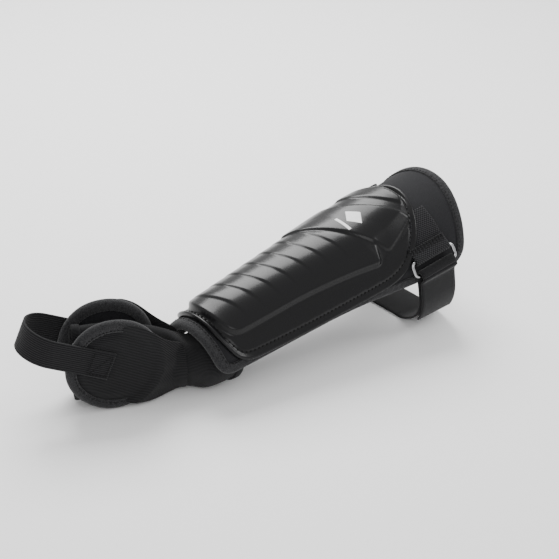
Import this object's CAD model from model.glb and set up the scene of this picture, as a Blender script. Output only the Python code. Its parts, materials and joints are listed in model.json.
import bpy
import bmesh
import json
import math
import numpy as np
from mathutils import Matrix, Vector
from mathutils.geometry import delaunay_2d_cdt


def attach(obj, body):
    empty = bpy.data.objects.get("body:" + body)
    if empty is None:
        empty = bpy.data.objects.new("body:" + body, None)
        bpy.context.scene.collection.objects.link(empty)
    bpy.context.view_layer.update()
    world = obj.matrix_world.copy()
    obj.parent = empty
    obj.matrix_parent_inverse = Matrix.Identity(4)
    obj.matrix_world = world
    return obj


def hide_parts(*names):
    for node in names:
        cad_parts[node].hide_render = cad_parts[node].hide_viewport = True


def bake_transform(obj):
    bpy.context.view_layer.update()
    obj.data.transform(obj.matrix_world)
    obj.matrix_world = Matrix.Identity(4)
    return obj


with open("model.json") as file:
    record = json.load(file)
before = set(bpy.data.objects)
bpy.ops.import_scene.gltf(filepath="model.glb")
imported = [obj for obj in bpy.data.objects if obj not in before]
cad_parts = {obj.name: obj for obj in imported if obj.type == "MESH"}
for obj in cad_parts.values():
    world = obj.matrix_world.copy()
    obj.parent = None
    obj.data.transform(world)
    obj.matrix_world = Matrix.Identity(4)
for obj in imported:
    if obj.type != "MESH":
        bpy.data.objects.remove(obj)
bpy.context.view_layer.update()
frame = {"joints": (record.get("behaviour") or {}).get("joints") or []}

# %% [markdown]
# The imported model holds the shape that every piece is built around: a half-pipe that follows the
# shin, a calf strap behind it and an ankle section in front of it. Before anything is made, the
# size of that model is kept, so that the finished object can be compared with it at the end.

joints = {j["name"]: j for j in frame["joints"]}
mm = 0.001

# %% [markdown]
# The shin guard is a cone cut open along its back. A point on it is easiest to give by three
# numbers: u, the distance from the ankle end, s, the length of arc away from the crest, and h, the
# height over the lining. Working in the rolled-out (u, s) plane means outlines and seams can be
# drawn flat, as a pattern maker draws them, and then wrapped round the leg.

# %% Wrap the flat pattern round the leg
guard_pitch = math.radians(9)
guard_origin = np.array([-56.17, -4.32, 19.0]) * mm
length_dir = np.array([math.cos(guard_pitch), 0, math.sin(guard_pitch)])
normal_dir = np.array([-math.sin(guard_pitch), 0, math.cos(guard_pitch)])
near_side = np.array([0, -1.0, 0])
radius_ankle, radius_knee, radius_length = 36 * mm, 54 * mm, 280 * mm
cone_slope = (radius_knee - radius_ankle) / radius_length


def channel_radius(u):
    return radius_ankle + cone_slope * np.asarray(u)


def wrap(u, s, h):
    """World points of pattern points (u, s) at height h over the lining."""
    u, s, h = np.broadcast_arrays(*[np.asarray(x, float) for x in (u, s, h)])
    angle = s / channel_radius(u)
    r = channel_radius(u) + h
    out = guard_origin + u[..., None] * length_dir
    out = out + (r * np.sin(angle))[..., None] * near_side
    return out + (r * np.cos(angle))[..., None] * normal_dir


def unwrap(points):
    """Pattern coordinates u, s and h of world points."""
    d = np.asarray(points) - guard_origin
    u, y, z = d @ length_dir, d @ near_side, d @ normal_dir
    return u, np.arctan2(y, z) * channel_radius(u), np.hypot(y, z) - channel_radius(u)


def at(u, angle):
    """Pattern point from a length in millimetres and an angle in degrees."""
    return (u * mm, math.radians(angle) * float(channel_radius(u * mm)))


# %% [markdown]
# Outlines are closed lines in the pattern plane. Each is given by a few corners with a radius,
# and every later line (a seam, a lip, the edge of a tape) is the same outline moved inwards.

# %% Outline helpers
def rounded(corners, step=2 * mm):
    """Closed line through (u, s, radius) corners, each cut off by a smooth curve."""
    line = []
    count = len(corners)
    for i, (u, s, r) in enumerate(corners):
        here = np.array([u, s])
        before = np.array(corners[i - 1][:2]) - here
        after = np.array(corners[(i + 1) % count][:2]) - here
        lead = min(r, np.linalg.norm(before) * 0.49)
        trail = min(r, np.linalg.norm(after) * 0.49)
        a = here + before / np.linalg.norm(before) * lead
        b = here + after / np.linalg.norm(after) * trail
        for t in np.linspace(0, 1, 12):
            line.append((1 - t) ** 2 * a + 2 * t * (1 - t) * here + t * t * b)
    return respace(np.array(line), step)


def run_along(points):
    """Distance travelled at each point of a line."""
    return np.concatenate([[0], np.cumsum(np.linalg.norm(np.diff(points, axis=0), axis=1))])


def neighbours(line):
    """The next and the previous point at each point of a closed line."""
    return np.roll(line, -1, axis=0), np.roll(line, 1, axis=0)


def respace(line, step, closed=True):
    """The same line with points an even step apart."""
    loop = np.vstack([line, line[:1]]) if closed else np.asarray(line, float)
    lengths = run_along(loop)
    count = max(8, int(round(lengths[-1] / step)))
    places = np.linspace(0, lengths[-1], count, endpoint=not closed)
    return np.stack([np.interp(places, lengths, loop[:, i]) for i in range(loop.shape[1])], axis=1)


def inward(line):
    """Unit vectors that point to the inside of a closed line."""
    along = np.roll(line, -2, axis=0) - np.roll(line, 2, axis=0)
    along /= np.linalg.norm(along, axis=1)[:, None]
    turned = np.stack([-along[:, 1], along[:, 0]], axis=1)
    area = np.sum(line[:, 0] * np.roll(line[:, 1], -1) - np.roll(line[:, 0], -1) * line[:, 1])
    return turned if area > 0 else -turned


def inset(line, distance):
    return line + inward(line) * distance


def depth_inside(line, u, s):
    """Distance of pattern points from a closed line, positive inside it."""
    points = np.stack([np.ravel(u), np.ravel(s)], axis=1)
    a, b = line, np.roll(line, -1, axis=0)
    edge = b - a
    best = np.full(len(points), 1e9)
    crossings = np.zeros(len(points), int)
    for p, q, e in zip(a, b, edge):
        rel = points - p
        t = np.clip(rel @ e / (e @ e), 0, 1)
        best = np.minimum(best, np.linalg.norm(rel - t[:, None] * e, axis=1))
        spans = (p[1] > points[:, 1]) != (q[1] > points[:, 1])
        reach = p[0] + (points[:, 1] - p[1]) * (e[0] / (e[1] if e[1] else 1e-12))
        crossings += spans & (points[:, 0] < reach)
    return (best * np.where(crossings % 2, 1, -1)).reshape(np.shape(u))


def smooth(x, low, high):
    """Goes smoothly from 0 at low to 1 at high."""
    t = np.clip((np.asarray(x, float) - low) / (high - low), 0, 1)
    return t * t * (3 - 2 * t)


# %% [markdown]
# The pad's outline is a half-pipe: straight across at the ankle, along the two edges that pass
# beside the calf, and a round lobe over the shin below the knee. The shell's outline sits inside it.

# %% Pad and shell outlines
def mirrored(half):
    """Adds the far side to a half outline that runs from the ankle's crest to the knee's crest."""
    return half + [(u, -s, r) for u, s, r in half[::-1] if s > 1e-6]


def edge_at(u, level):
    """Pattern point of the pad edge at a level over the leg axis, both in millimetres."""
    middle = float(channel_radius(u * mm)) + 4 * mm
    return (u * mm, math.acos(level * mm / middle) * float(channel_radius(u * mm)))


pad_line = rounded(mirrored([
    (-10 * mm, 0, 10 * mm),
    (*edge_at(-10, 8), 15 * mm),
    (*edge_at(60, 8), 40 * mm),
    (*edge_at(125, 8), 40 * mm),
    (*edge_at(178, 2), 40 * mm),
    (*edge_at(248, -5), 26 * mm),
    (*at(261, 55), 30 * mm),
    (*at(270, 24), 25 * mm),
    (272 * mm, 0, 15 * mm),
]))
shell_line = rounded(mirrored([
    (0, 0, 8 * mm),
    (1 * mm, 26 * mm, 14 * mm),
    (10 * mm, 46 * mm, 16 * mm),
    (60 * mm, 52.5 * mm, 30 * mm),
    (120 * mm, 58.5 * mm, 40 * mm),
    (186 * mm, 64 * mm, 26 * mm),
    (218 * mm, 35 * mm, 24 * mm),
    (230 * mm, 8 * mm, 16 * mm),
]), step=1.5 * mm)
print("pad outline", len(pad_line), "points; shell outline", len(shell_line), "points")

# %% [markdown]
# Three kinds of mesh are enough for the whole guard: a net of quads (straps, tapes, tubes), a
# triangulated skin that fills an outline exactly (shell, pad), and small copies of one stitch.

# %% Mesh helpers
def new_mesh(name, verts, faces, uvs=None, smooth_faces=True):
    mesh = bpy.data.meshes.new(name)
    mesh.from_pydata([tuple(v) for v in np.asarray(verts).tolist()], [], faces)
    if uvs is not None:
        layer = mesh.uv_layers.new(name="pattern")
        index = np.zeros(len(mesh.loops), int)
        mesh.loops.foreach_get("vertex_index", index)
        layer.data.foreach_set("uv", np.asarray(uvs, np.float32)[index].ravel())
    mesh.validate()
    mesh.update()
    for p in mesh.polygons:
        p.use_smooth = smooth_faces
    obj = bpy.data.objects.new(name, mesh)
    bpy.context.scene.collection.objects.link(obj)
    return obj


def net(name, grid, uv=None, wrap_rows=False, wrap_columns=False, cap=False):
    """Quad mesh from a grid of points (rows, columns, 3)."""
    rows, columns = grid.shape[:2]
    faces = []
    for i in range(rows if wrap_rows else rows - 1):
        for j in range(columns if wrap_columns else columns - 1):
            k, m = (i + 1) % rows, (j + 1) % columns
            faces.append((i * columns + j, k * columns + j, k * columns + m, i * columns + m))
    if cap:
        faces.append(tuple(range(columns)))
        faces.append(tuple((rows - 1) * columns + j for j in reversed(range(columns))))
    uvs = None if uv is None else uv.reshape(-1, 2)
    obj = new_mesh(name, grid.reshape(-1, 3), faces, uvs)
    return fix_normals(obj)


def fix_normals(obj):
    bm = bmesh.new()
    bm.from_mesh(obj.data)
    bmesh.ops.remove_doubles(bm, verts=bm.verts, dist=1e-6)
    bmesh.ops.recalc_face_normals(bm, faces=bm.faces)
    bm.to_mesh(obj.data)
    bm.free()
    return obj


def fill(line, spacing, rings=()):
    """Points and triangles that fill a closed pattern line, with extra rows along inner rings."""
    loops = [line] + [inset(line, d) for d in rings]
    flat = [tuple(p) for loop in loops for p in loop]
    low, high = line.min(0), line.max(0)
    us = np.arange(low[0], high[0], spacing)
    ss = np.arange(low[1], high[1], spacing)
    grid_u, grid_s = np.meshgrid(us, ss, indexing="ij")
    grid_u = grid_u + (np.arange(len(ss)) % 2)[None, :] * spacing / 2
    inside = depth_inside(line, grid_u, grid_s) > (max(rings) if rings else 0) + spacing * 0.6
    flat += list(zip(grid_u[inside], grid_s[inside]))
    edges = [(i, (i + 1) % len(line)) for i in range(len(line))]
    verts, _, faces, *_ = delaunay_2d_cdt([Vector(p) for p in flat], edges, [], 1, 1e-7)
    return np.array([tuple(v) for v in verts]), [tuple(f) for f in faces], len(line)


def plate(name, line, spacing, rings, top, bottom, place=wrap):
    """Closed plate over a pattern outline. top and bottom give the height at (u, s)."""
    flat, faces, _ = fill(line, spacing, rings)
    count = len(flat)
    u, s = flat[:, 0], flat[:, 1]
    upper = place(u, s, top(u, s))
    lower = place(u, s, bottom(u, s))
    uses = {}
    for f in faces:
        for a, b in zip(f, f[1:] + f[:1]):
            uses[(a, b)] = True
    rim = [(a, b) for a, b in uses if (b, a) not in uses]
    solid = list(faces) + [tuple(i + count for i in reversed(f)) for f in faces]
    solid += [(b, a, a + count, b + count) for a, b in rim]
    return fix_normals(new_mesh(name, np.vstack([upper, lower]), solid, np.vstack([flat, flat])))


def stitches(name, places, size):
    """One short thread end over end: a bowed capsule at each (centre, along, up)."""
    length, width, height = size
    verts, faces = [], []
    ring = [(math.cos(a), math.sin(a)) for a in np.linspace(0, 2 * math.pi, 8, endpoint=False)]
    stations = [(-0.5, 0.35, -0.9), (-0.42, 0.8, -0.25), (-0.2, 1, 0.1), (0, 1, 0.2), (0.2, 1, 0.1),
                (0.42, 0.8, -0.25), (0.5, 0.35, -0.9)]
    for centre, along, up in places:
        across = np.cross(up, along)
        base = len(verts)
        for t, girth, lift in stations:
            for c, k in ring:
                verts.append(centre + along * t * length + across * c * girth * width / 2
                             + up * (lift + k * girth) * height / 2)
        for i in range(len(stations) - 1):
            for j in range(8):
                m = (j + 1) % 8
                low, high = base + i * 8, base + (i + 1) * 8
                faces.append((low + j, high + j, high + m, low + m))
        faces.append(tuple(base + j for j in range(8)))
        faces.append(tuple(base + (len(stations) - 1) * 8 + j for j in reversed(range(8))))
    return fix_normals(new_mesh(name, np.array(verts), faces))


def unit(v):
    v = np.asarray(v, float)
    return v / np.linalg.norm(v, axis=-1, keepdims=True)


def band(name, path, across, width, thickness, crown=0.0, thick_at=None):
    """Woven band with soft edges through the points of path; across is its width direction."""
    path = np.asarray(path, float)
    travel = unit(np.gradient(path, axis=0))
    across = np.asarray(across, float)
    flat = unit(across - travel * np.sum(across * travel, axis=1)[:, None])
    up = np.cross(flat, travel)
    half, t = width / 2, thickness / 2
    profile = [(x * half, t) for x in np.linspace(-0.96, 0.96, 15)]
    profile += [(half * 0.99, t * 0.7), (half, 0), (half * 0.99, -t * 0.7)]
    profile += [(x * half, -t) for x in np.linspace(0.96, -0.96, 15)]
    profile += [(-half * 0.99, -t * 0.7), (-half, 0), (-half * 0.99, t * 0.7)]
    w, z = np.array(profile).T
    lift = crown * (1 - (w / half) ** 2)
    swell = np.ones(len(path)) if thick_at is None else np.asarray(thick_at)
    grid = (path[:, None] + flat[:, None] * w[None, :, None]
            + up[:, None] * (z[None, :] * swell[:, None] + lift[None, :])[..., None])
    run = run_along(path)
    uv = np.stack(np.broadcast_arrays(run[:, None], w[None, :]), axis=-1)
    return net(name, grid, uv, wrap_columns=True, cap=True)


def curve_through(points, step):
    """Smooth line (Catmull-Rom) through a few points, evenly spaced."""
    p = np.asarray(points, float)
    ends = np.vstack([2 * p[0] - p[1], p, 2 * p[-1] - p[-2]])
    out = []
    for i in range(1, len(ends) - 2):
        a, b, c, d = ends[i - 1:i + 3]
        for t in np.linspace(0, 1, 16, endpoint=False):
            out.append(0.5 * (2 * b + (c - a) * t + (2 * a - 5 * b + 4 * c - d) * t ** 2
                              + (3 * b - a - 3 * c + d) * t ** 3))
    out.append(p[-1])
    return respace(np.array(out), step, closed=False)

# %% [markdown]
# Almost everything here is black, so the finishes differ in structure rather than in colour: a
# satin moulded shell, a smooth knit, a hairy tape, ribs in the elastic. Each structure is a node
# group that puts out a mask; the material decides what the mask does to colour, roughness and bump.

# %% Node group helpers
def make_group(name, inputs, outputs):
    group = bpy.data.node_groups.new(name, "ShaderNodeTree")
    for label, kind, value in inputs:
        socket = group.interface.new_socket(name=label, in_out="INPUT", socket_type=kind)
        if value is not None:
            socket.default_value = value
    for label, kind in outputs:
        group.interface.new_socket(name=label, in_out="OUTPUT", socket_type=kind)
    return group, group.nodes.new("NodeGroupInput"), group.nodes.new("NodeGroupOutput")


def node(tree, kind, links=(), **settings):
    """Adds a node. Settings are attributes; links are (input, source socket or value) pairs."""
    n = tree.nodes.new(kind)
    for key, value in settings.items():
        setattr(n, key, value)
    for label, source in links:
        if isinstance(source, bpy.types.NodeSocket):
            tree.links.new(source, n.inputs[label])
        else:
            n.inputs[label].default_value = source
    return n


def math_node(tree, operation, a, b=0.5, c=0.5):
    n = node(tree, "ShaderNodeMath", [(0, a), (1, b), (2, c)], operation=operation)
    return n.outputs[0]


# %% Fuzz: short fibres and lint, in every fabric
fuzz_group, fuzz_in, fuzz_out = make_group(
    "Fuzz", [("Fibre size", "NodeSocketFloat", 900.0), ("Patch size", "NodeSocketFloat", 60.0)],
    [("Fibres", "NodeSocketFloat"), ("Patches", "NodeSocketFloat")])
place = node(fuzz_group, "ShaderNodeTexCoord").outputs["Object"]
fibre = node(fuzz_group, "ShaderNodeTexNoise", [("Vector", place), ("Scale", fuzz_in.outputs["Fibre size"]),
                                                 ("Detail", 3.0), ("Roughness", 0.7)])
patch = node(fuzz_group, "ShaderNodeTexNoise", [("Vector", place), ("Scale", fuzz_in.outputs["Patch size"]),
                                                 ("Detail", 4.0), ("Roughness", 0.6)])
fuzz_group.links.new(fibre.outputs["Fac"], fuzz_out.inputs["Fibres"])
fuzz_group.links.new(patch.outputs["Fac"], fuzz_out.inputs["Patches"])

# %% Weave: threads over and under, along the pattern directions of a strap or sleeve
weave_group, weave_in, weave_out = make_group(
    "Weave", [("Along pitch", "NodeSocketFloat", 0.001), ("Across pitch", "NodeSocketFloat", 0.001)],
    [("Threads", "NodeSocketFloat"), ("Ribs", "NodeSocketFloat")])
pattern = node(weave_group, "ShaderNodeUVMap", uv_map="pattern").outputs["UV"]
split = node(weave_group, "ShaderNodeSeparateXYZ", [("Vector", pattern)])
turns = []
for axis, label in (("X", "Along pitch"), ("Y", "Across pitch")):
    cycles = math_node(weave_group, "DIVIDE", split.outputs[axis], weave_in.outputs[label])
    turns.append(math_node(weave_group, "MULTIPLY", cycles, 2 * math.pi))
wave_along = math_node(weave_group, "SINE", turns[0])
wave_across = math_node(weave_group, "SINE", turns[1])
over_under = math_node(weave_group, "MULTIPLY", wave_along, wave_across)
threads = math_node(weave_group, "MULTIPLY_ADD", over_under, 0.5, 0.5)
ribs = math_node(weave_group, "MULTIPLY_ADD", wave_across, 0.5, 0.5)
weave_group.links.new(threads, weave_out.inputs["Threads"])
weave_group.links.new(ribs, weave_out.inputs["Ribs"])

# %% Edge wear: a mask that is bright on raised edges, where handling polishes or greys a surface
wear_group, wear_in, wear_out = make_group(
    "EdgeWear", [("Sharpness", "NodeSocketFloat", 8.0), ("Scratch size", "NodeSocketFloat", 180.0)],
    [("Edges", "NodeSocketFloat"), ("Scuffs", "NodeSocketFloat")])
pointy = node(wear_group, "ShaderNodeNewGeometry").outputs["Pointiness"]
raised = math_node(wear_group, "SUBTRACT", pointy, 0.5)
scaled = node(wear_group, "ShaderNodeMath", [(0, raised), (1, wear_in.outputs["Sharpness"])],
              operation="MULTIPLY", use_clamp=True)
place = node(wear_group, "ShaderNodeTexCoord").outputs["Object"]
scuff = node(wear_group, "ShaderNodeTexNoise", [("Vector", place), ("Scale", wear_in.outputs["Scratch size"]),
                                                 ("Detail", 6.0), ("Roughness", 0.75), ("Distortion", 1.5)])
wear_group.links.new(scaled.outputs[0], wear_out.inputs["Edges"])
wear_group.links.new(scuff.outputs["Fac"], wear_out.inputs["Scuffs"])
print("groups", [g.name for g in bpy.data.node_groups])


# %% Material helpers
def new_material(name, roughness, coat=0.0, sheen=0.0, specular=0.5, metallic=0.0):
    m = bpy.data.materials.new(name)
    m.use_nodes = True
    shader = m.node_tree.nodes["Principled BSDF"]
    shader.inputs["Roughness"].default_value = roughness
    shader.inputs["Coat Weight"].default_value = coat
    shader.inputs["Coat Roughness"].default_value = 0.12
    shader.inputs["Sheen Weight"].default_value = sheen
    shader.inputs["Sheen Roughness"].default_value = 0.5
    shader.inputs["Specular IOR Level"].default_value = specular
    shader.inputs["Metallic"].default_value = metallic
    return m, m.node_tree, shader


def place_group(tree, group, **values):
    n = tree.nodes.new("ShaderNodeGroup")
    n.node_tree = group
    for key, value in values.items():
        n.inputs[key.replace("_", " ")].default_value = value
    return n.outputs


def tint(tree, shader, mask, dark, light):
    """Base colour that runs from dark to light with a mask."""
    ramp = node(tree, "ShaderNodeValToRGB", [("Fac", mask)])
    ramp.color_ramp.elements[0].position, ramp.color_ramp.elements[1].position = 0.25, 0.75
    ramp.color_ramp.elements[0].color = (*dark, 1)
    ramp.color_ramp.elements[1].color = (*light, 1)
    tree.links.new(ramp.outputs["Color"], shader.inputs["Base Color"])


def relief(tree, shader, heights):
    """Stacks (mask, depth in metres, strength) layers of bump into the shader's normal."""
    normal = None
    for mask, depth, strength in heights:
        bump = node(tree, "ShaderNodeBump", [("Height", mask), ("Distance", depth), ("Strength", strength)])
        if normal is not None:
            tree.links.new(normal, bump.inputs["Normal"])
        normal = bump.outputs["Normal"]
    tree.links.new(normal, shader.inputs["Normal"])


def rough_between(tree, shader, mask, low, high):
    spread = node(tree, "ShaderNodeMapRange", [("Value", mask), ("To Min", low), ("To Max", high)])
    tree.links.new(spread.outputs[0], shader.inputs["Roughness"])


# %% [markdown]
# The shell is injection-moulded in black plastic with a satin face. What gives it away as plastic
# is the broad, soft reflection, slightly broken up by handling, and thin brighter edges.

# %% Shell plastic
shell_mat, tree, bsdf = new_material("shell_plastic", 0.3, coat=0.05, specular=0.22)
wear = place_group(tree, wear_group, Sharpness=6.0, Scratch_size=220.0)
fine = place_group(tree, fuzz_group, Fibre_size=2600.0, Patch_size=25.0)
tint(tree, bsdf, wear["Edges"], (0.004, 0.004, 0.0045), (0.014, 0.014, 0.015))
rough_between(tree, bsdf, wear["Scuffs"], 0.25, 0.31)
relief(tree, bsdf, [(fine["Fibres"], 0.00002, 0.06), (fine["Patches"], 0.0003, 0.10)])

# %% [markdown]
# Fabrics: the pad is covered in a smooth matt knit, lined with a brushed fabric and bound with a
# hairy tape. The three share the fibre mask at different scales; the tape also has a coarse weave.

# %% Pad fabrics
def fabric(name, dark, light, fibre_size, patch_size, depth, sheen, roughness=0.95):
    made, made_tree, made_bsdf = new_material(name, roughness, sheen=sheen, specular=0.12)
    hair = place_group(made_tree, fuzz_group, Fibre_size=fibre_size, Patch_size=patch_size)
    tint(made_tree, made_bsdf, hair["Fibres"], dark, light)
    relief(made_tree, made_bsdf, [(hair["Patches"], 0.0006, 0.2), (hair["Fibres"], depth, 0.7)])
    return made, made_tree, made_bsdf, hair


knit_mat, *_ = fabric("knit_cover", (0.011, 0.011, 0.012), (0.024, 0.024, 0.026), 1500, 40, 0.0002, 0.05)
lining_mat, *_ = fabric("brushed_lining", (0.005, 0.005, 0.006), (0.016, 0.016, 0.018), 800, 50, 0.0006, 0.12)
loop_mat, *_ = fabric("loop_strap", (0.003, 0.003, 0.0035), (0.016, 0.016, 0.017), 1000, 120, 0.0006, 0.12)
thread_mat, *_ = fabric("thread", (0.002, 0.002, 0.002), (0.010, 0.010, 0.010), 4000, 300, 0.0001, 0.03, 0.7)
hook_mat, *_ = fabric("hook", (0.010, 0.010, 0.010), (0.030, 0.030, 0.030), 1400, 200, 0.0005, 0.0, 0.5)

tape_mat, tree, bsdf, hair = fabric(
    "binding_tape", (0.002, 0.002, 0.0025), (0.040, 0.040, 0.042), 900, 300, 0.0010, 0.14)
woven = place_group(tree, weave_group, Along_pitch=0.0022, Across_pitch=0.0022)
relief(tree, bsdf, [(woven["Threads"], 0.0003, 0.6), (hair["Fibres"], 0.0006, 0.8)])

# %% [markdown]
# The sleeve is a ribbed knit and the foot loop a ribbed elastic; the tab is a coarse webbing. All
# are the same weave group with different pitches, taken from the pattern coordinates of the mesh,
# so the ribs follow each piece as it bends.

# %% Ribbed and woven fabrics
def woven_fabric(name, dark, light, along, across, depth, ribbed, fibre_size=1600):
    made, made_tree, made_bsdf = new_material(name, 0.9, sheen=0.06, specular=0.15)
    hair = place_group(made_tree, fuzz_group, Fibre_size=fibre_size, Patch_size=70)
    web = place_group(made_tree, weave_group, Along_pitch=along, Across_pitch=across)
    mask = web["Ribs"] if ribbed else web["Threads"]
    fluff = math_node(made_tree, "MULTIPLY", hair["Fibres"], 0.4)
    mixed = math_node(made_tree, "MULTIPLY_ADD", mask, 0.6, fluff)
    tint(made_tree, made_bsdf, mixed, dark, light)
    relief(made_tree, made_bsdf, [(mask, depth, 0.8), (hair["Fibres"], 0.00015, 0.5)])
    return made


sleeve_mat = woven_fabric(
    "rib_knit", (0.003, 0.003, 0.0035), (0.016, 0.016, 0.017), 0.0016, 0.0015, 0.0005, True)
elastic_mat = woven_fabric(
    "elastic", (0.002, 0.002, 0.0025), (0.018, 0.018, 0.019), 0.0012, 0.0018, 0.0004, True)
webbing_mat = woven_fabric(
    "webbing", (0.003, 0.003, 0.0035), (0.026, 0.026, 0.028), 0.0028, 0.0024, 0.0006, False)

# %% Plated wire and white print
ring_mat, tree, bsdf = new_material("ring_wire", 0.16, metallic=1.0)
wear = place_group(tree, wear_group, Sharpness=3.0, Scratch_size=400.0)
tint(tree, bsdf, wear["Scuffs"], (0.30, 0.30, 0.31), (0.50, 0.50, 0.51))
rough_between(tree, bsdf, wear["Scuffs"], 0.10, 0.28)
relief(tree, bsdf, [(wear["Scuffs"], 0.00005, 0.2)])

print_mat, tree, bsdf = new_material("badge_print", 0.5, specular=0.4)
wear = place_group(tree, wear_group, Sharpness=3.0, Scratch_size=500.0)
tint(tree, bsdf, wear["Scuffs"], (0.72, 0.72, 0.72), (0.90, 0.90, 0.90))
relief(tree, bsdf, [(wear["Scuffs"], 0.00005, 0.3)])


def dress(obj, material, body, nodes):
    """Gives a finished piece its material, its body and the CAD nodes it stands for."""
    obj.data.materials.clear()
    obj.data.materials.append(material)
    if body:
        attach(obj, body)
    if nodes:
        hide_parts(*nodes)
    return obj


# %% [markdown]
# The shell is one moulding, so it is one closed plate. Its face is a height field over the flat
# pattern: a rounded lip, a sewing groove, a wide flange, then the raised body. The body's ribs lap
# like the plates of armour, each knee-side plate standing over the one below it, and fade out
# towards the ring side. A four-cornered badge panel and a narrow crescent finish the knee end.

# %% Heights of the shell face
flange_height = 9.8 * mm
lip_width, lip_height = 3.6 * mm, 1.5 * mm
groove_at, groove_half, groove_depth = 5.6 * mm, 1.1 * mm, 0.5 * mm
body_rise = 4.6 * mm
rib_pitch, rib_step, rib_count, rib_first = 18 * mm, 0.8 * mm, 7, 20 * mm

body_line = rounded([(*at(u, a), r * mm) for u, a, r in (
    (7, 0, 6), (9, 26, 8), (15, 42, 10), (40, 43, 20), (90, 44, 20), (135, 49, 16), (166, 54, 4),
    (170, 46, 8), (190, 43, 12), (216, 33, 4), (223, 14, 8), (222, -16, 10), (196, -44, 14), (150, -50, 20),
    (90, -45, 20), (40, -44, 20), (14, -42, 10), (8, -24, 8))], step=1.5 * mm)
panel_line = rounded([(*at(u, a), r * mm) for u, a, r in (
    (130, -17, 3), (152, 14, 10), (179, 49, 3), (215, 32, 3), (203, 17, 8), (190, 3, 8), (176, -14, 8),
    (166, -36, 6), (140, -46, 8), (120, -38, 6))], step=1.5 * mm)
crescent_line = rounded([(*at(u, a), r * mm) for u, a, r in (
    (184, -36, 3), (190, -15, 8), (202, 4, 8), (215, 20, 4), (220, 23, 1), (222, 12, 6), (219, -10, 8),
    (206, -32, 8))], step=1.5 * mm)


def rib_heights(u, s):
    """Laps of the ribs: a short rise on the knee side of each crease, then a slow fall."""
    angle = s / channel_radius(u)
    sweep = 11 * mm * smooth(angle, math.radians(-22), math.radians(30))
    place_in_row = (u - rib_first - sweep) / rib_pitch
    row = np.clip(np.floor(place_in_row), -1, rib_count - 1)
    t = place_in_row - row
    rise = smooth(t, 0, 0.09) * (1 - 0.92 * np.clip((t - 0.09) / 0.91, 0, 1))
    fade = 1 - smooth(angle, math.radians(6), math.radians(34 + 4))
    side = 1 - smooth(-angle, math.radians(26), math.radians(46))
    in_rows = (place_in_row > 0) & (place_in_row < rib_count + 0.6)
    return rib_step * rise * fade * side * in_rows


def shell_face(u, s):
    d = depth_inside(shell_line, u, s)
    lip_place = np.clip((d - lip_width / 2) / (lip_width / 2), -1, 1)
    lip = lip_height * np.sqrt(1 - lip_place ** 2) - 1.2 * mm * (1 - smooth(d, 0, 1.0 * mm))
    groove = groove_depth * (1 - smooth(np.abs(d - groove_at), groove_half * 0.5, groove_half * 1.3))
    inside = depth_inside(body_line, u, s)
    soft = 11 * mm * smooth(u, 163 * mm, 172 * mm) * smooth(s / channel_radius(u), 0.1, 0.6)
    body = body_rise * smooth(inside, -1.2 * mm - soft * 0.25, 2.2 * mm + soft)
    foot = 0.5 * mm * np.exp(-((inside + 2.2 * mm) / (1.2 * mm)) ** 2)
    dome = 1.8 * mm * smooth(inside, 0, 26 * mm)
    panel = depth_inside(panel_line, u, s)
    raised = 1.7 * mm * smooth(panel, -0.4 * mm, 1.6 * mm) - 0.5 * mm * smooth(panel, 0, 24 * mm)
    crescent = 1.5 * mm * smooth(depth_inside(crescent_line, u, s), -0.5 * mm, 3.0 * mm)
    ribs = rib_heights(u, s) * smooth(inside, 0, 5 * mm) * (1 - smooth(panel, -4 * mm, 0))
    return flange_height + lip - groove + body - foot + dome + raised + crescent + ribs


lip_rows = [x * mm for x in (0.35, 0.9, 1.8, 2.7, 3.6, 4.6, 5.1, 5.6, 6.1, 6.8)]
shell_under = 7.4 * mm
shell = plate("shell", shell_line, 1.25 * mm, lip_rows, shell_face, lambda u, s: np.full_like(u, shell_under))
dress(shell, shell_mat, "guard", ["shell"])
print("shell", len(shell.data.polygons), "faces")

# %% [markdown]
# The plain badge is a diamond and a short bar, printed on the panel. Each is a thin plate cut from
# the same height field, a hair above the plastic, so it follows every curve of the shell.

# %% Badge
def decal(name, corners, spacing=1.0 * mm):
    line = respace(np.array(corners), spacing)
    return plate(name, line, spacing, [0.4 * mm], lambda u, s: shell_face(u, s) + 0.18 * mm,
                 lambda u, s: shell_face(u, s) - 0.3 * mm)


badge_u, badge_s, badge_half = 171 * mm, 6 * mm, 8 * mm
diamond = decal("badge_diamond", [(badge_u - badge_half, badge_s), (badge_u, badge_s - badge_half),
                                  (badge_u + badge_half, badge_s), (badge_u, badge_s + badge_half)])
bar_u, bar_long, bar_wide = 158.5 * mm, 7 * mm, 1.4 * mm
bar = decal("badge_bar", [(bar_u + i * bar_wide, badge_s + j * bar_long)
                          for i, j in ((-1, -1), (1, -1), (1, 1), (-1, 1))])
dress(diamond, print_mat, "guard", ["shell_badge"])
dress(bar, print_mat, "guard", [])

# %% [markdown]
# One row of lockstitches holds the shell down. Each stitch is a separate bowed thread lying in the
# groove, so that light catches it; the pitch of 4 mm is the same all round.

# %% Shell stitching
stitch_pitch = 4 * mm
stitch_size = (2.1 * mm, 1.5 * mm, 0.9 * mm)


def row_on_shell(line, height):
    """Stitch places along a closed pattern line: centre, direction and up."""
    spots = respace(line, stitch_pitch)
    ahead, behind = neighbours(spots)
    centre = wrap(spots[:, 0], spots[:, 1], height(spots[:, 0], spots[:, 1]))
    along = unit(wrap(ahead[:, 0], ahead[:, 1], 10 * mm) - wrap(behind[:, 0], behind[:, 1], 10 * mm))
    out = unit(wrap(spots[:, 0], spots[:, 1], 20 * mm) - wrap(spots[:, 0], spots[:, 1], 10 * mm))
    return list(zip(centre, along, out))


places = row_on_shell(inset(shell_line, groove_at), lambda u, s: shell_face(u, s) + 0.2 * mm)
shell_stitching = stitches("shell_stitching", places, stitch_size)
dress(shell_stitching, thread_mat, "guard", ["shell_stitching"])
print("shell stitches", len(places))

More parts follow.
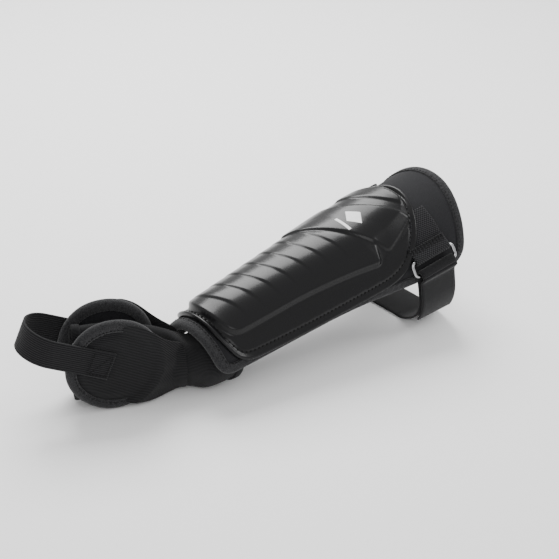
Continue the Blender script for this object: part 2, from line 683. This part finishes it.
# %% [markdown]
# The pad is foam between two fabrics, so it swells between the seams that hold it. Its start shape
# is a slightly thin closed plate. A short cloth simulation with inner pressure fills it, while the
# edge under the tape and the part under the shell are held. How far any point may move is capped.

# %% Fill a padded piece by cloth pressure
def inflate(obj, held, voxel=5 * mm, pressure=4.0, cap=4 * mm, frames=20):
    """Remeshes obj and blows it up a little. held(points) is 1 where the seam holds it still."""
    remesh = obj.modifiers.new("remesh", "REMESH")
    remesh.mode, remesh.voxel_size, remesh.use_smooth_shade = "VOXEL", voxel, True
    apply_modifiers(obj)
    start = read_points(obj)
    pins = obj.vertex_groups.new(name="held")
    for i, w in enumerate(held(start)):
        pins.add([i], float(w), "REPLACE")
    cloth = obj.modifiers.new("cloth", "CLOTH")
    cloth.settings.quality = 5
    cloth.settings.use_pressure = True
    cloth.settings.uniform_pressure_force = pressure
    cloth.settings.effector_weights.gravity = 0
    cloth.settings.vertex_group_mass = "held"
    cloth.collision_settings.use_self_collision = False
    cloth.point_cache.frame_start, cloth.point_cache.frame_end = 1, frames
    for f in range(1, frames + 1):
        bpy.context.scene.frame_set(f)
    apply_modifiers(obj)
    bpy.context.scene.frame_set(1)
    moved = read_points(obj) - start
    far = np.linalg.norm(moved, axis=1)
    moved *= np.minimum(1, cap / np.maximum(far, 1e-9))[:, None]
    write_points(obj, start + moved)
    print(obj.name, "swelled by up to", round(float(far.max()) * 1000, 1), "mm, kept to", cap * 1000)
    divide = obj.modifiers.new("divide", "SUBSURF")
    divide.levels = divide.render_levels = 1
    apply_modifiers(obj)
    return obj


def apply_modifiers(obj):
    graph = bpy.context.evaluated_depsgraph_get()
    finished = bpy.data.meshes.new_from_object(obj.evaluated_get(graph))
    obj.modifiers.clear()
    old, obj.data = obj.data, finished
    bpy.data.meshes.remove(old)
    for p in obj.data.polygons:
        p.use_smooth = True


def read_points(obj):
    co = np.zeros(len(obj.data.vertices) * 3)
    obj.data.vertices.foreach_get("co", co)
    return co.reshape(-1, 3)


def write_points(obj, points):
    obj.data.vertices.foreach_set("co", np.asarray(points, np.float32).ravel())
    obj.data.update()


# %% Pad core
pad_top, pad_low = 6.6 * mm, 0.3 * mm
edge_pinch = 1.6 * mm


def pad_upper(u, s):
    return pad_top - edge_pinch * (1 - smooth(depth_inside(pad_line, u, s), 0, 10 * mm))


def pad_lower(u, s):
    return pad_low + edge_pinch * 0.5 * (1 - smooth(depth_inside(pad_line, u, s), 0, 10 * mm))


def pad_held(points):
    u, s, _ = unwrap(points)
    edge = 1 - smooth(depth_inside(pad_line, u, s), 5 * mm, 14 * mm)
    under_shell = smooth(depth_inside(shell_line, u, s), -2 * mm, 3 * mm)
    return np.maximum(edge, under_shell)


pad_core = plate("pad_cover", inset(pad_line, 1.2 * mm), 4 * mm, [4 * mm], pad_upper, pad_lower)
inflate(pad_core, pad_held, voxel=4 * mm, pressure=5.0, cap=5 * mm)

# %% [markdown]
# The filled core is one closed skin. On the real pad the outside is knit and the inside a brushed
# lining, so the skin is cut in two along its edge, where the tape will cover the cut.

# %% Cut the core into cover and lining
def cut_skin(obj, name, is_inner):
    """Moves the faces that look towards the leg to a new object."""
    inner = [f.index for f in obj.data.polygons if is_inner(np.array(f.center), np.array(f.normal))]
    other = obj.copy()
    other.data = obj.data.copy()
    other.name = name
    bpy.context.scene.collection.objects.link(other)
    keep = set(inner)
    for piece, drop in ((obj, keep), (other, set(range(len(obj.data.polygons))) - keep)):
        bm = bmesh.new()
        bm.from_mesh(piece.data)
        bm.faces.ensure_lookup_table()
        bmesh.ops.delete(bm, geom=[bm.faces[i] for i in drop], context="FACES")
        bm.to_mesh(piece.data)
        bm.free()
    return other


def towards_leg(centre, normal):
    u, _, h = unwrap(centre)
    return np.dot(normal, centre - guard_origin - u * length_dir) < 0 or h < 2.5 * mm


pad_lining = cut_skin(pad_core, "pad_lining", towards_leg)
dress(pad_core, knit_mat, "guard", ["pad_cover", "pad_foam"])
dress(pad_lining, lining_mat, "guard", ["pad_lining"])
print("pad cover", len(pad_core.data.polygons), "faces; lining", len(pad_lining.data.polygons))

# %% [markdown]
# The binding is a tape folded over the raw edge and sewn through. It is swept along the outline
# with a U-shaped section that is thick, soft and a little uneven, as a hairy tape pulls in at each
# stitch.

# %% Binding tapes
def tape_profile(width, half_thickness, proud=0.9 * mm, steps=9):
    """U section: (distance in from the edge, height from the middle), closed round the inside."""
    r = half_thickness + proud
    upper = [(width, r * 0.86), (width * 0.985, r * 0.97), (width * 0.9, r), (width * 0.78, r * 0.975),
             (width * 0.68, r)]
    upper += [(r * (1 - math.cos(a)), r * math.sin(a)) for a in np.linspace(math.pi / 2, 0, steps)]
    lower = [(x, -z) for x, z in reversed(upper[:-1])]
    back = [(width, -r * 0.5), (width, r * 0.5)]
    return np.array(upper + lower + back)


def tape(name, points, inner_dirs, up_dirs, width, half_thickness, proud=0.9 * mm):
    profile = tape_profile(width, half_thickness, proud)
    points, inner_dirs, up_dirs = (np.vstack([x, x[:1]]) for x in (points, inner_dirs, up_dirs))
    count = len(points) - 1
    run = np.arange(count + 1) % count
    pull = 1 + 0.05 * np.sin(run * 2 * math.pi / 4)[:, None] * (profile[:, 0] > width * 0.6)[None, :]
    grid = (points[:, None] + inner_dirs[:, None] * profile[None, :, 0, None]
            + up_dirs[:, None] * (profile[None, :, 1] * pull)[..., None])
    lengths = run_along(points)
    around = run_along(profile)
    uv = np.stack(np.broadcast_arrays(lengths[:, None], around[None, :]), axis=-1)
    return net(name, grid, uv, wrap_columns=True)


tape_step, tape_width = 1.6 * mm, 9 * mm
binding_stitch, binding_pitch = (2.2 * mm, 0.8 * mm, 0.7 * mm), 3.2 * mm
tape_line = respace(pad_line, tape_step)
mid = 3.4 * mm
edge_points = wrap(tape_line[:, 0], tape_line[:, 1], mid)
stepped = tape_line + inward(tape_line) * 1 * mm
inner_dirs = unit(wrap(stepped[:, 0], stepped[:, 1], mid) - edge_points)
up_dirs = unit(wrap(tape_line[:, 0], tape_line[:, 1], mid + 1 * mm) - edge_points)
pad_binding = tape("pad_binding", edge_points, inner_dirs, up_dirs, tape_width, 3.1 * mm)
dress(pad_binding, tape_mat, "guard", ["pad_binding"])

tape_rows = []
spots = respace(inset(tape_line, 7.4 * mm), binding_pitch)
ahead, behind = neighbours(spots)
for side, h in ((1, mid + 4.0 * mm), (-1, mid - 4.0 * mm)):
    centre = wrap(spots[:, 0], spots[:, 1], h)
    along = unit(wrap(ahead[:, 0], ahead[:, 1], h) - wrap(behind[:, 0], behind[:, 1], h))
    out = unit(wrap(spots[:, 0], spots[:, 1], h + side * mm) - centre)
    tape_rows += list(zip(centre, along, out))
binding_stitching = stitches("binding_stitching", tape_rows, binding_stitch)
dress(binding_stitching, thread_mat, "guard", [])
print("binding", len(pad_binding.data.polygons), "faces, stitches", len(tape_rows))

# %% [markdown]
# The strap hardware: a webbing tab sewn under the shell edge holds a bent-wire ring. The fuzzy
# calf strap is sewn on the far side, passes behind the calf, comes up through the ring and folds
# back on itself. Flat webbing hangs as it is sewn, so it is modelled directly as a band.

# %% Ring tab
strap_u, strap_width, strap_thick = 214 * mm, 38 * mm, 2.0 * mm
webbing_height = 8.7 * mm
wire = 3 * mm
tab_thick, tab_height = 1.8 * mm, 8.6 * mm
ring_axis = unit(np.array(joints["ring_swivel"]["axis"], float))
inner_bar = np.array(joints["ring_swivel"]["pos_m"])
ring_turn = math.radians(67)
bar_out = normal_dir * math.cos(ring_turn) + near_side * math.sin(ring_turn)
bar_down = -normal_dir * math.sin(ring_turn) + near_side * math.cos(ring_turn)
outer_bar = inner_bar + bar_down * 13 * mm


def leg_points(angles, heights):
    a = np.radians(np.asarray(angles, float))
    return wrap(strap_u, a * channel_radius(strap_u), heights)


def generator_dirs(angles):
    a = np.radians(np.asarray(angles, float))[:, None]
    out = normal_dir * np.cos(a) + near_side * np.sin(a)
    return unit(length_dir + out * cone_slope)


def fold(centre, inwards, turn, radius, first, last, steps=9):
    a = np.radians(np.linspace(first, last, steps))[:, None]
    return centre + radius * (np.cos(a) * inwards + np.sin(a) * turn)


tab_fold = wire / 2 + 1.2 * mm
tab_path = np.vstack([
    leg_points(range(28, 62, 4), tab_height),
    fold(inner_bar, -bar_out, bar_down, tab_fold, 0, 180),
    leg_points([63.5, 61, 58.5, 56], [13.0 * mm, 11.6 * mm, 10.9 * mm, 10.7 * mm]),
])
tab_path = curve_through(tab_path, 1.2 * mm)
tab_across = np.repeat(generator_dirs([60]), len(tab_path), axis=0)
ring_tab = band("ring_tab", tab_path, tab_across, strap_width, tab_thick)
dress(ring_tab, webbing_mat, "guard", ["ring_tab"])


def sewn_rows(rows, count, pitch):
    """Rows of stitches across a band; each row is (degrees round the leg, height)."""
    places = []
    for angle, height in rows:
        a = math.radians(angle)
        out = normal_dir * math.cos(a) + near_side * math.sin(a)
        for k in range(count):
            u = strap_u + (k - count // 2) * pitch
            places.append((wrap(u, a * channel_radius(u), height), generator_dirs([angle])[0], out))
    return places


tab_rows = [(56.8, 12.0 * mm), (58.2, 12.0 * mm), (59.6, 12.0 * mm), (61.0, 12.5 * mm)]
tab_stitching = stitches("tab_stitching", sewn_rows(tab_rows, 11, 3.3 * mm), (2.5 * mm, 0.9 * mm, 0.8 * mm))
dress(tab_stitching, thread_mat, "guard", ["tab_stitching"])

# %% Ring: a bent wire, a round rod swept round a rectangle with small corners
def wire_ring(name, centre, long_dir, short_dir, long_size, short_size, corner, thickness):
    line = []
    for sx, sy, start in ((1, 1, 0), (-1, 1, 90), (-1, -1, 180), (1, -1, 270)):
        for a in np.radians(np.linspace(start, start + 90, 7)):
            line.append((sx * (long_size / 2 - corner) + corner * math.cos(a),
                         sy * (short_size / 2 - corner) + corner * math.sin(a)))
    line = respace(np.array(line), 1.2 * mm)
    ahead, behind = neighbours(line)
    out2 = unit(np.stack([(ahead - behind)[:, 1], -(ahead - behind)[:, 0]], axis=1))
    up = unit(np.cross(long_dir, short_dir))
    centre_line = centre + line[:, :1] * long_dir + line[:, 1:] * short_dir
    out = out2[:, :1] * long_dir + out2[:, 1:] * short_dir
    a = np.linspace(0, 2 * math.pi, 14, endpoint=False)
    section = np.cos(a)[None, :, None] * out[:, None] + np.sin(a)[None, :, None] * up
    grid = centre_line[:, None] + thickness / 2 * section
    return net(name, grid, wrap_rows=True, wrap_columns=True)


ring_long, ring_short, ring_corner = 45 * mm, 16 * mm - wire, 3.5 * mm
ring_middle = (inner_bar + outer_bar) / 2
ring = wire_ring("ring", ring_middle, ring_axis, bar_down, ring_long, ring_short, ring_corner, wire)
dress(ring, ring_mat, "ring", ["ring"])

# %% Calf strap
side_level = -6 * mm
half_width = float(channel_radius(strap_u)) + webbing_height
loop_depth = float(guard_origin[2]) + strap_u * math.sin(guard_pitch) + 2 * mm


def strap_loop(angles, height=0.0):
    """Middle of the strap below the leg; 0 degrees is its lowest point, + is the ring side."""
    a = np.radians(np.asarray(angles, float))
    depth = loop_depth / math.cos(guard_pitch) + side_level + height
    y = np.sign(a) * (half_width + height) * np.abs(np.sin(a)) ** 0.8
    z = side_level - depth * np.abs(np.cos(a)) ** 0.8
    out = guard_origin + strap_u * length_dir + y[:, None] * near_side + z[:, None] * normal_dir
    if height == 0:
        out[:, 2] = np.maximum(out[:, 2], strap_thick / 2)
    return out


def strap_dirs(angles):
    share = np.clip((75 - np.abs(np.asarray(angles, float))) / 35, 0, 1)[:, None]
    return unit(generator_dirs(np.where(np.asarray(angles) > 0, 90, -90)) * (1 - share)
                + np.array([1.0, 0, 0]) * share)


loop_angles = list(range(-90, 91, 5))
strap_fold = 3.5 * mm
fold_in = fold(outer_bar, -bar_out, -bar_down, strap_fold, 10, 180)
tongue = fold_in[-1] + bar_down * 3 * mm
strap_path = np.vstack([leg_points(range(-32, -90, -5), webbing_height), strap_loop(loop_angles),
                        leg_points([88, 85], webbing_height), fold_in, tongue[None]])
strap_across = np.vstack([generator_dirs(range(-32, -90, -5)), strap_dirs(loop_angles),
                          generator_dirs([88, 85]), np.repeat(ring_axis[None], 10, axis=0)])


def strap_band(name, path, across):
    """Strap whose width direction turns as it goes; it is smoothed together with the path."""
    both = curve_through(np.hstack([path, across * 0.02]), 1.6 * mm)
    return band(name, both[:, :3], both[:, 3:], strap_width, strap_thick)


strap = strap_band("strap", strap_path, strap_across)
dress(strap, loop_mat, "guard", ["strap"])

tail_lift = 3.6 * mm
tail_top = tongue + bar_down * 0.3 * mm
tail_angles = [84, 78, 72, 66, 60, 54]
tail_path = np.vstack([tail_top, tail_top + bar_down * 1.5 * mm,
                       leg_points([86, 89], webbing_height + tail_lift + np.array([1.6, 0.4]) * mm),
                       strap_loop(tail_angles, tail_lift)])
tail_across = np.vstack([ring_axis, ring_axis, generator_dirs([86, 89]), strap_dirs(tail_angles)])
strap_tail = strap_band("strap_tail", tail_path, tail_across)
dress(strap_tail, loop_mat, "strap_tail", ["strap_tail"])

hook_angles = [78, 72, 66, 60, 56]
hook_path = curve_through(strap_loop(hook_angles, 1.8 * mm), 1.6 * mm)
hook_across = np.repeat(strap_dirs([66]), len(hook_path), axis=0)
hook_patch = band("hook_patch", hook_path, hook_across, strap_width - 4 * mm, 1.2 * mm)
dress(hook_patch, hook_mat, "strap_tail", ["hook_patch"])

strap_places = sewn_rows([(angle, 9.9 * mm) for angle in (-56, -59, -62)], 9, stitch_pitch)
strap_stitching = stitches("strap_stitching", strap_places, (2.6 * mm, 0.9 * mm, 0.8 * mm))
dress(strap_stitching, thread_mat, "guard", ["strap_stitching"])
print("strap length", round(float(run_along(strap_path)[-1]), 3), "m")

# %% [markdown]
# The ankle sleeve is a rib-knit tube. It is widest where it leaves the guard, turns outwards, and
# flattens between the two discs. A hanging knit is never smooth, so a few soft folds run round it
# where it bends. It is modelled with two walls, because its ends are open and show their thickness.

# %% Ankle sleeve
pivot = guard_origin
ankle_turn = math.radians(23)
ankle_dir = np.array([-math.cos(ankle_turn), math.sin(ankle_turn), 0])
near_dir = np.array([-math.sin(ankle_turn), -math.cos(ankle_turn), 0])
world_up = np.array([0, 0, 1.0])


def ankle_point(reach, height, sideways=0.0):
    return np.array([pivot[0], pivot[1], 0]) + ankle_dir * reach + near_dir * sideways + world_up * height


# Each station: centre, share of the turn, half width, half height.
sleeve_stations = [
    (pivot * [1, 1, 0] + [0.020, 0, 0.0254], 0, 0.0295, 0.0244),
    (pivot * [1, 1, 0] + [0.011, 0, 0.0254], 0, 0.0295, 0.0244),
    (pivot * [1, 1, 0] + [-0.008, 0, 0.0248], 0, 0.0275, 0.0238),
    (ankle_point(0.016, 0.025), 0.5, 0.0225, 0.0238),
    (ankle_point(0.026, 0.028), 0.85, 0.0185, 0.0265),
    (ankle_point(0.036, 0.0305), 1, 0.0130, 0.0286),
    (ankle_point(0.048, 0.033), 1, 0.0120, 0.0310),
    (ankle_point(0.080, 0.0375), 1, 0.0120, 0.0345),
    (ankle_point(0.112, 0.038), 1, 0.0120, 0.0350),
]
rows = curve_through([(*c, t * 0.02, w, h) for c, t, w, h in sleeve_stations], 1.5 * mm)
sleeve_wall = 1.8 * mm
around = np.linspace(0, 2 * math.pi, 145)


def sleeve_rings(rows, grow, folds=0.0):
    """Rings of the tube. folds is how deep it is pulled in: tight folds at the bend, soft ones after."""
    centre, turn = rows[:, :3], rows[:, 3] / 0.02 * ankle_turn
    side = np.stack([-np.sin(turn), -np.cos(turn), turn * 0], axis=1)
    run = run_along(centre)
    at_run, across = run[:, None], np.cos(around)[None]
    tight = np.sin(at_run / 0.0052 + 2.6 * across + 1.2 * np.sin(2 * around)[None])
    tight = tight * np.exp(-((at_run - 0.040 - 0.006 * across) / 0.018) ** 2)
    loose = 0.5 * np.sin(at_run / 0.009 - 3.1 * np.sin(around)[None] + 0.7)
    wave = tight + loose * np.exp(-((at_run - 0.075) / 0.030) ** 2)
    floor_side = smooth(-np.sin(around), 0.55, 0.9)[None]
    size = grow - folds * (1 + wave) * (1 - 0.8 * floor_side) / 2
    wide = (rows[:, 4:5] + size) * np.cos(around)[None]
    tall = (rows[:, 5:6] + size) * np.sin(around)[None]
    points = centre[:, None] + wide[..., None] * side[:, None] + tall[..., None] * world_up
    return points, run


outer, run = sleeve_rings(rows, 0.0, 1.6 * mm)
inner, _ = sleeve_rings(rows, -sleeve_wall, 1.6 * mm)
middle = (outer + inner) / 2
grid = np.concatenate([middle[:1], outer, middle[-1:], inner[::-1]])
run_all = np.concatenate([run[:1], run, run[-1:], run[::-1]])
girth = around / (2 * math.pi) * 0.165
uv = np.stack(np.broadcast_arrays(run_all[:, None], girth[None, :]), axis=-1)
ankle_sleeve = net("ankle_sleeve", grid, uv, wrap_rows=True)


def dress_blended(obj, material, nodes):
    dress(obj, material, None, nodes)
    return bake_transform(obj)


def hem(name, first, last, nodes):
    """A turned-up double edge of the tube, a little proud of it, with soft rolled borders."""
    part = rows[(run >= first) & (run <= last)]
    steps = np.linspace(0, 1, len(part))
    proud = 1.0 * mm * np.sqrt(np.clip(1 - (2 * steps - 1) ** 6, 0.02, 1))[:, None]
    skin, _ = sleeve_rings(part, 0.0)
    centre = part[:, None, :3]
    out = unit(skin - centre)
    folded = np.concatenate([skin + out * proud[..., None], (skin + out * 0.1 * mm)[::-1]])
    length = np.concatenate([run[:len(part)], run[:len(part)][::-1]])
    uv = np.stack(np.broadcast_arrays(length[:, None], girth[None, :]), axis=-1)
    return dress_blended(net(name, folded, uv, wrap_rows=True),
                         sleeve_mat, nodes)


hem("sleeve_hem", 0, 9 * mm, ["sleeve_hem"])
hem("sleeve_toe_hem", run[-1] - 9 * mm, run[-1], ["sleeve_toe_hem"])
dress_blended(ankle_sleeve, sleeve_mat, ["ankle_sleeve"])

yoke_line = rounded([(2 * mm, -20 * mm, 3 * mm), (14 * mm, -20 * mm, 3 * mm),
                     (14 * mm, 20 * mm, 3 * mm), (2 * mm, 20 * mm, 3 * mm)])
yoke_top, yoke_bottom = -0.1 * mm, -1.0 * mm
yoke = plate("sleeve_yoke", yoke_line, 2 * mm, [], lambda u, s: np.full_like(u, yoke_top),
             lambda u, s: np.full_like(u, yoke_bottom))
dress(yoke, sleeve_mat, "guard", ["sleeve_yoke"])
print("sleeve length", round(float(run[-1]) * 1000), "mm")

# %% [markdown]
# Two padded discs guard the ankle bones. Each is foam between two round fabrics, closed by a thick
# brushed binding, so it is filled by the same short cloth simulation as the pad. The rounds are a
# little uneven, since a binding pulls a soft disc in more at some stitches than at others.

# %% Discs
disc_radius, disc_reach, disc_gap = 42 * mm, 80 * mm, 28 * mm
disc_stack = 8 * mm


def disc_frame(hand):
    """Origin, first direction and outward direction of a disc."""
    return ankle_point(disc_reach, disc_radius, hand * disc_gap / 2), ankle_dir, near_dir * hand


def disc_place(hand):
    origin, along, out = disc_frame(hand)

    def place(u, s, h):
        u, s, h = (np.asarray(x, float)[..., None] for x in np.broadcast_arrays(u, s, h))
        return origin + u * along + s * world_up + h * out
    return place


def disc_line(radius, uneven):
    a = np.linspace(0, 2 * math.pi, 120, endpoint=False)
    r = radius - uneven * (1 + 0.5 * np.sin(3 * a + 0.8) + 0.5 * np.sin(5 * a)) / 2
    return np.stack([r * np.cos(a), r * np.sin(a)], axis=1)


def make_disc(side, hand):
    place = disc_place(hand)
    origin, along, out = disc_frame(hand)
    uneven = 1.0 * mm
    core_line = disc_line(disc_radius - 2 * mm, uneven)

    def upper(u, s):
        return 6.6 * mm - 1.6 * mm * (1 - smooth(depth_inside(core_line, u, s), 0, 12 * mm))

    def lower(u, s):
        return 0.5 * mm + 1.5 * mm * (1 - smooth(depth_inside(core_line, u, s), 0, 12 * mm))

    def held(points):
        r = np.linalg.norm(np.stack([(points - origin) @ along, (points - origin) @ world_up]), axis=0)
        behind = 1 - smooth((points - origin) @ out, 2 * mm, 4 * mm)
        return np.maximum(smooth(r, 30 * mm, 37 * mm), behind * 0.9)

    core = plate(f"{side}_disc_cover", core_line, 3 * mm, [3 * mm], upper, lower, place)
    inflate(core, held, voxel=3 * mm, pressure=3.0, cap=1.2 * mm)
    lining = cut_skin(core, f"{side}_disc_lining", lambda c, n: np.dot(n, out) < -0.2)
    dress(core, knit_mat, "ankle", [f"{side}_disc_cover", f"{side}_disc_foam"])
    dress(lining, lining_mat, "ankle", [f"{side}_disc_lining"])
    edge = respace(disc_line(disc_radius, uneven), tape_step)
    points = place(edge[:, 0], edge[:, 1], disc_stack / 2)
    middle = place(0.0, 0.0, disc_stack / 2)
    binding = tape(f"{side}_disc_binding", points, unit(middle - points),
                   np.repeat(out[None], len(edge), axis=0), tape_width, 3.5 * mm, 1.0 * mm)
    dress(binding, tape_mat, "ankle", [f"{side}_disc_binding"])
    row = respace(disc_line(disc_radius - 7.2 * mm, uneven), binding_pitch)
    ahead, behind = neighbours(row)
    centre = place(row[:, 0], row[:, 1], disc_stack / 2 + 4.5 * mm)
    direction = unit(place(ahead[:, 0], ahead[:, 1], 0) - place(behind[:, 0], behind[:, 1], 0))
    thread = stitches(f"{side}_disc_stitching", [(c, d, out) for c, d in zip(centre, direction)],
                      binding_stitch)
    dress(thread, thread_mat, "ankle", [])
    print(side, "disc made")


make_disc("near", 1)
make_disc("far", -1)

# %% [markdown]
# The knit of the sleeve is drawn over each disc and sewn to it. It leaves the binding free on the
# toe side, covers it on the guard side, and runs down to the tube in a few soft folds. Its height
# over the disc is the higher of two shapes: the disc with its rim, and the tube behind it.

# %% Knit drawn over the discs
drape_line = rounded([(33.2 * math.cos(math.radians(a)) * mm, 33.2 * math.sin(math.radians(a)) * mm, 2 * mm)
                      for a in range(-80, 81, 10)]
                     + [(u * mm, s * mm, r * mm) for u, s, r in (
                         (-6, 35, 4), (-14, 38, 5), (-27, 32, 8), (-44, 16, 8), (-60, 7, 3), (-61, -36, 3),
                         (-44, -39.5, 6), (-22, -39.5, 6), (-10, -36.5, 4))])
reaches = [16, 26, 36, 48, 80, 112]


def drape_top(u, s):
    reach, z, r = (disc_reach + u) / mm, (disc_radius + s) / mm, np.hypot(u, s)
    wide = np.interp(reach, reaches, [22.5, 18.5, 13, 12, 12, 12]) * mm
    centre = np.interp(reach, reaches, [25, 28, 30.5, 33, 37.5, 38])
    high = np.interp(reach, reaches, [23.8, 26.5, 28.6, 31, 34.5, 35])
    tube = wide * np.sqrt(np.clip(1 - ((z - centre) / high) ** 2, 0.02, 1)) - disc_gap / 2 + 0.7 * mm
    fall = np.maximum(r - 41 * mm, 0)
    toe_side = 1 - smooth(-u, 0, 12 * mm)
    over = 8.5 * mm + 0.9 * mm * smooth(r, 31 * mm, 37 * mm) * (1 - toe_side) - 0.55 * fall
    over = over - 1.7 * mm * smooth(r, 25 * mm, 33 * mm) * toe_side
    over = over + 0.6 * mm * np.sin((1.4 * s - u) / (5.5 * mm)) * smooth(r, 40 * mm, 48 * mm)
    gap = np.clip((over - tube) / (3 * mm), -1, 1)
    return np.maximum(over, tube) + 0.4 * mm * (1 - np.abs(gap)) ** 2


for side, hand in (("near", 1), ("far", -1)):
    drape = plate(f"{side}_disc_knit", drape_line, 1.6 * mm, [0.8 * mm], drape_top,
                  lambda u, s: drape_top(u, s) - 0.9 * mm, disc_place(hand))
    dress(drape, sleeve_mat, "ankle", [])

# %% [markdown]
# A loop of ribbed elastic joins the discs and goes under the foot. Its ends are folded double and
# box-stitched to the disc covers, so the sewn part is thicker than the loop.

# %% Elastic loop
stirrup_rise = math.radians(22)
stirrup_width, stirrup_thick, stirrup_reach = 25 * mm, 1.6 * mm, 79 * mm
loop_offset = 23.7 * mm
sewn_start, patch_length = 4 * mm, 18 * mm
loop_dir = ankle_dir * math.cos(stirrup_rise) + world_up * math.sin(stirrup_rise)
loop_across = np.cross(near_dir, loop_dir)
disc_centre = ankle_point(disc_reach, disc_radius)
bend_start = stirrup_reach - loop_offset


def loop_point(along, sideways):
    return disc_centre + loop_dir * along + near_dir * sideways


bend = np.radians(np.arange(0, 181, 15))
loop_path = [loop_point(sewn_start, loop_offset), loop_point(22 * mm, loop_offset),
             loop_point(bend_start - 15 * mm, loop_offset)]
loop_path += [loop_point(bend_start + loop_offset * math.sin(a), loop_offset * math.cos(a)) for a in bend]
loop_path += [loop_point(bend_start - 15 * mm, -loop_offset), loop_point(22 * mm, -loop_offset),
              loop_point(sewn_start, -loop_offset)]
loop_path = curve_through(loop_path, 1.5 * mm)
travelled = np.arange(len(loop_path)) * 1.5 * mm
from_end = np.minimum(travelled, travelled[-1] - travelled)
thick_at = 1 + 0.7 * (1 - smooth(from_end, patch_length, patch_length + 2 * mm))
loop_across_all = np.repeat(loop_across[None], len(loop_path), axis=0)
stirrup = band("stirrup", loop_path, loop_across_all, stirrup_width, stirrup_thick, thick_at=thick_at)
dress(stirrup, elastic_mat, "stirrup", ["stirrup"])
for side, hand in (("near", 1), ("far", -1)):
    level = hand * (loop_offset + 1.5 * mm)
    box_rows = []
    for across in (-9.5 * mm, 9.5 * mm):
        box_rows += [(loop_point(sewn_start + x * mm, level) + loop_across * across, loop_dir,
                      near_dir * hand) for x in (4, 7, 10, 13, 16)]
    for along in (2 * mm, patch_length):
        box_rows += [(loop_point(sewn_start + along, level) + loop_across * k * 3 * mm, loop_across,
                      near_dir * hand) for k in range(-3, 4)]
    slant = unit(loop_dir * 2.0 + loop_across * 2.8)
    box_rows += [(loop_point(sewn_start + (4 + 2.0 * k) * mm, level) + loop_across * (k - 3) * 2.8 * mm,
                  slant, near_dir * hand) for k in range(7)]
    thread = stitches(f"{side}_stirrup_stitching", box_rows, (2.3 * mm, 0.8 * mm, 0.7 * mm))
    dress(thread, thread_mat, "stirrup", [f"{side}_stirrup_stitching"])
print("elastic loop", round(float(travelled[-1]) * 1000), "mm long")

# %% [markdown]
# The object is shown on a plain pale floor in soft studio light. One broad light from above and
# behind draws the long highlights along the ribs and the flange; a weaker one opens the near side.

# %% Studio
floor_mesh = bpy.data.meshes.new("floor")
floor_mesh.from_pydata([(-3, -3, 0), (3, -3, 0), (3, 3, 0), (-3, 3, 0)], [], [(0, 1, 2, 3)])
floor = bpy.data.objects.new("floor", floor_mesh)
bpy.context.scene.collection.objects.link(floor)
floor_mat, tree, bsdf = new_material("floor", 0.6)
bsdf.inputs["Base Color"].default_value = (0.92, 0.92, 0.92, 1)
floor.data.materials.append(floor_mat)

world = bpy.data.worlds.new("studio")
bpy.context.scene.world = world
world.use_nodes = True
world.node_tree.nodes["Background"].inputs["Color"].default_value = (1, 1, 1, 1)
world.node_tree.nodes["Background"].inputs["Strength"].default_value = 0.9


def area(name, location, target, size, power):
    light = bpy.data.lights.new(name, "AREA")
    light.size = size
    light.energy = power
    lamp = bpy.data.objects.new(name, light)
    bpy.context.scene.collection.objects.link(lamp)
    lamp.location = location
    lamp.rotation_euler = (Vector(target) - Vector(location)).to_track_quat("-Z", "Y").to_euler()


area("key", (0.35, 0.75, 1.0), (0, 0, 0.05), 0.8, 24)
area("near_fill", (-0.7, -1.1, 0.9), (0, 0, 0.05), 0.8, 6)
area("end_fill", (1.1, -0.5, 0.8), (0, 0, 0.05), 0.6, 7)

# %% [markdown]
# The camera looks at the near side from the ankle end, about thirty degrees above the floor.

# %% Camera
camera = bpy.data.objects.new("camera", bpy.data.cameras.new("camera"))
bpy.context.scene.collection.objects.link(camera)
bpy.context.scene.camera = camera
azimuth, elevation, distance = math.radians(-39.4), math.radians(29.2), 1.6
look_at = Vector((0.030, 0.0, 0.067))
back = Vector((math.sin(azimuth) * math.cos(elevation), -math.cos(azimuth) * math.cos(elevation),
               math.sin(elevation)))
camera.location = look_at + back * distance
camera.rotation_euler = back.to_track_quat("Z", "Y").to_euler()
camera.data.lens = 119.7
camera.data.sensor_width = 36
